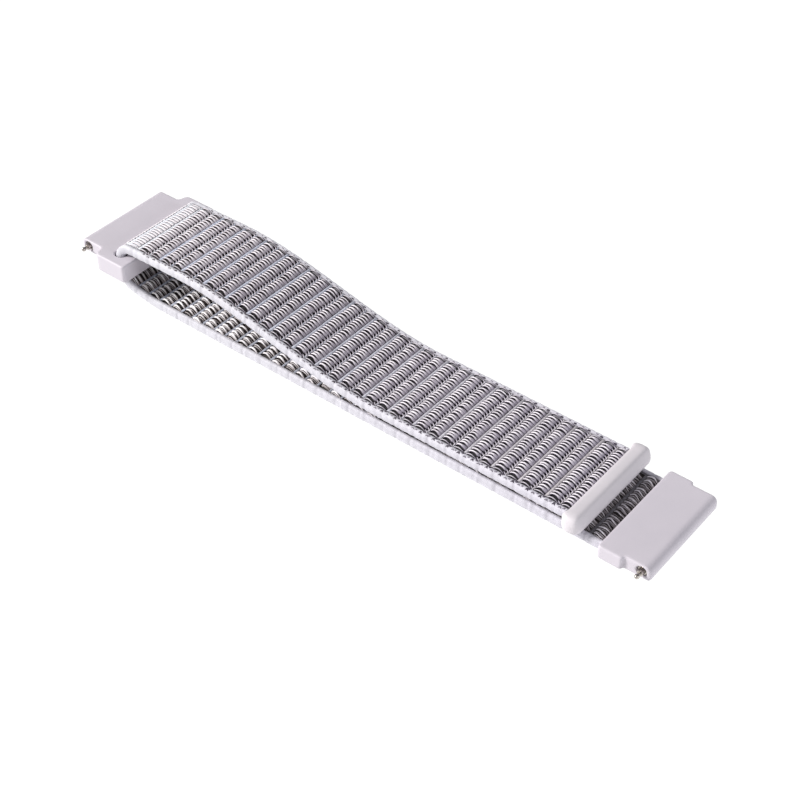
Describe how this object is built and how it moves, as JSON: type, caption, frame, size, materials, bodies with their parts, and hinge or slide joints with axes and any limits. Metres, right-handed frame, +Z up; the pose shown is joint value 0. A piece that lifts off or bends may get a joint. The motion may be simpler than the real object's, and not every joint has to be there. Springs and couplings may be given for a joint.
{
  "type": "hook and loop watch strap",
  "caption": "Woven hook and loop watch strap folded through a slotted adapter and closed on itself, with a moulded end tab and quick-release spring bars.",
  "frame": {"origin": "on the resting plane, midway along and across the folded strap", "axes": "+X along the strap towards the anchored adapter, +Y across it, +Z up from the lower layer to the flap"},
  "size_m": [0.1348, 0.0262, 0.0127],
  "materials": {
    "lilac_plastic": "satin moulded",
    "ribbed_nylon": "ribbed weave with white yarn floats",
    "loop_nylon": "loop pile over a dark ground",
    "hook_nylon": "fine hook pile",
    "steel": "turned stainless steel"
  },
  "bodies": {
    "lower": {"webbing_lower": "loop_nylon"},
    "slotted_end": {"slotted_adapter": "lilac_plastic", "webbing_fold": "ribbed_nylon"},
    "flap": {"webbing_flap": "ribbed_nylon"},
    "flap_end": {"webbing_flap_end": "ribbed_nylon", "hook_patch": "hook_nylon", "end_tab": "lilac_plastic"},
    "anchored_end": {"anchored_adapter": "lilac_plastic", "webbing_anchor": "loop_nylon"},
    "slotted_bar": {"slotted_bar_tube": "steel", "slotted_bar_fixed_tip": "steel", "slotted_bar_spring": "steel"},
    "slotted_release": {"slotted_bar_plunger": "steel", "slotted_bar_lever": "steel"},
    "anchored_bar": {"anchored_bar_tube": "steel", "anchored_bar_fixed_tip": "steel", "anchored_bar_spring": "steel"},
    "anchored_release": {"anchored_bar_plunger": "steel", "anchored_bar_lever": "steel"}
  },
  "joints": [
    {"name": "adapter_swivel", "type": "hinge", "parent": "lower", "child": "slotted_end", "pos_m": [-0.0506, 0, 0.00134], "axis": [0, -1, 0], "range_deg": [0, 45]},
    {"name": "flap_peel", "type": "hinge", "parent": "slotted_end", "child": "flap", "pos_m": [-0.04982, 0, 0.01262], "axis": [0, -1, 0], "range_deg": [0, 150]},
    {"name": "flap_end_peel", "type": "hinge", "parent": "flap", "child": "flap_end", "pos_m": [0.014, 0, 0.005], "axis": [0, -1, 0], "range_deg": [0, 120]},
    {"name": "end_flex", "type": "hinge", "parent": "lower", "child": "anchored_end", "pos_m": [0.0555, 0, 0.00108], "axis": [0, -1, 0], "range_deg": [-45, 45]},
    {"name": "slotted_bar_turn", "type": "hinge", "parent": "slotted_end", "child": "slotted_bar", "pos_m": [-0.0655, 0, 0.00827], "axis": [0, -1, 0], "range_deg": [-12, 12]},
    {"name": "slotted_release", "type": "slide", "parent": "slotted_bar", "child": "slotted_release", "axis": [0, -1, 0], "range_m": [0, 0.0013], "stiffness_N_per_m": 300, "springref_m": -0.001, "deforming": ["slotted_bar_spring"]},
    {"name": "anchored_bar_turn", "type": "hinge", "parent": "anchored_end", "child": "anchored_bar", "pos_m": [0.0655, 0, 0.00145], "axis": [0, -1, 0], "range_deg": [-12, 12]},
    {"name": "anchored_release", "type": "slide", "parent": "anchored_bar", "child": "anchored_release", "axis": [0, -1, 0], "range_m": [0, 0.0013], "stiffness_N_per_m": 300, "springref_m": -0.001, "deforming": ["anchored_bar_spring"]}
  ]
}
